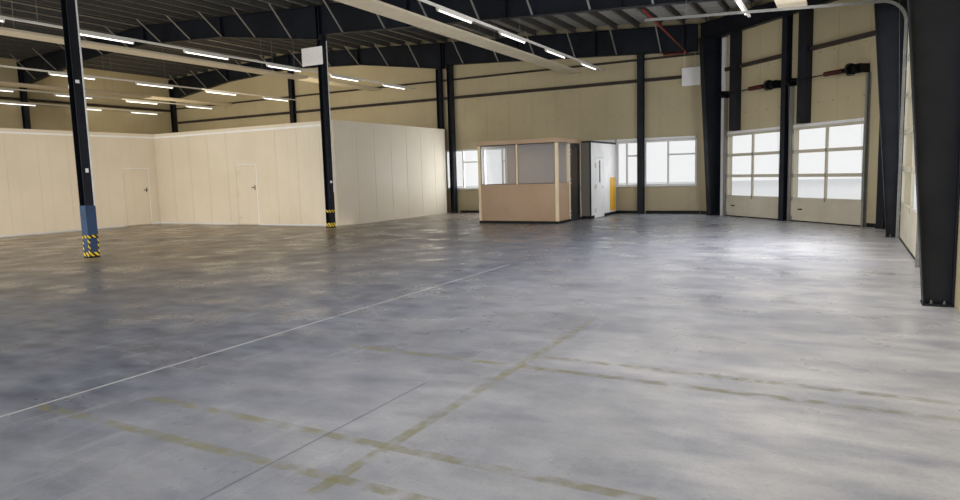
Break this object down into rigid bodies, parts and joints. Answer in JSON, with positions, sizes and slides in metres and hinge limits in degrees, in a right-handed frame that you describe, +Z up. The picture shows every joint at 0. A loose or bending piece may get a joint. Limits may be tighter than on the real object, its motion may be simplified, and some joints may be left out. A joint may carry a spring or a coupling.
{
  "type": "end section of a steel-framed factory hall",
  "caption": "Open end section of a steel-framed factory hall with sandwich panel walls, a cut corner with loading doors, a gate, a white enclosure and a glazed office.",
  "frame": {"origin": "middle of the underside of the floor slab", "axes": "+Z up, +Y from the open end to the far wall, +X to the wall with the gate"},
  "size_m": [33.28, 24.2, 8.1755],
  "materials": {
    "concrete": "sealed concrete, slight sheen",
    "navy_steel": "satin paint",
    "galvanised": "galvanised",
    "membrane": "matt roof membrane",
    "edge_trim": "satin",
    "wall_panel": "micro-ribbed coated sheet",
    "girt_paint": "matt paint",
    "window_frame": "satin",
    "clear_glass": "clear",
    "door_section": "stucco coated sheet",
    "track_steel": "galvanised",
    "white_panel": "smooth coated sheet",
    "dark_base": "matt",
    "cream_frame": "satin",
    "office_board": "satin",
    "anthracite": "satin",
    "heater_paint": "satin",
    "lamp_white": "satin"
  },
  "bodies": {
    "hall": {"floor_slab": "concrete", "columns_left": "navy_steel", "columns_middle": "navy_steel", "columns_right": "navy_steel", "gable_posts": "navy_steel", "corner_columns": "navy_steel", "rafters_left": "navy_steel", "rafters_right": "navy_steel", "corner_beam": "navy_steel", "purlins_left": "galvanised", "purlins_right": "galvanised", "fly_braces": "galvanised", "roof_deck": "galvanised", "roof_insulation": "membrane", "roof_trim": "edge_trim", "party_wall": "wall_panel", "far_wall": "wall_panel", "corner_wall": "wall_panel", "right_wall": "wall_panel", "wall_girts": "girt_paint", "window_frames": "window_frame", "window_glass": "clear_glass", "loading_doors": "door_section", "loading_door_glass": "clear_glass", "loading_door_tracks": "track_steel", "gate_leaf": "door_section", "gate_glass": "clear_glass", "gate_tracks": "track_steel", "enclosure_long_wall": "white_panel", "enclosure_front_wall": "white_panel", "enclosure_end_wall": "white_panel", "enclosure_near_wall": "white_panel", "enclosure_ceiling": "white_panel", "office_base": "dark_base", "office_frame": "cream_frame", "office_boards": "office_board", "office_glass": "clear_glass", "office_roof": "office_board", "store_walls": "white_panel", "store_roof": "anthracite", "door_hinges": "track_steel", "ceiling_heaters": "heater_paint", "light_lines": "lamp_white", "hanger_rods": "track_steel", "conduits": "track_steel", "sign_boards": "lamp_white"},
    "enclosure_long_door": {"enclosure_long_door": "white_panel"},
    "enclosure_front_door": {"enclosure_front_door": "white_panel"},
    "office_door": {"office_door": "anthracite", "office_door_glass": "clear_glass"},
    "store_door": {"store_door": "white_panel"}
  },
  "joints": [
    {"name": "front_door_swing", "type": "hinge", "parent": "hall", "child": "enclosure_front_door", "pos_m": [-4.04, 4.716, 0.2], "axis": [0, 0, -1], "range_deg": [0, 95]},
    {"name": "long_door_swing", "type": "hinge", "parent": "hall", "child": "enclosure_long_door", "pos_m": [-8.426, 3.33, 0.2], "axis": [0, 0, -1], "range_deg": [0, 95]},
    {"name": "office_door_swing", "type": "hinge", "parent": "hall", "child": "office_door", "pos_m": [7.619, 7.87, 0.2], "axis": [0, 0, -1], "range_deg": [0, 95]},
    {"name": "store_door_swing", "type": "hinge", "parent": "hall", "child": "store_door", "pos_m": [7.939, 9.42, 0.2], "axis": [0, 0, -1], "range_deg": [0, 95]}
  ]
}
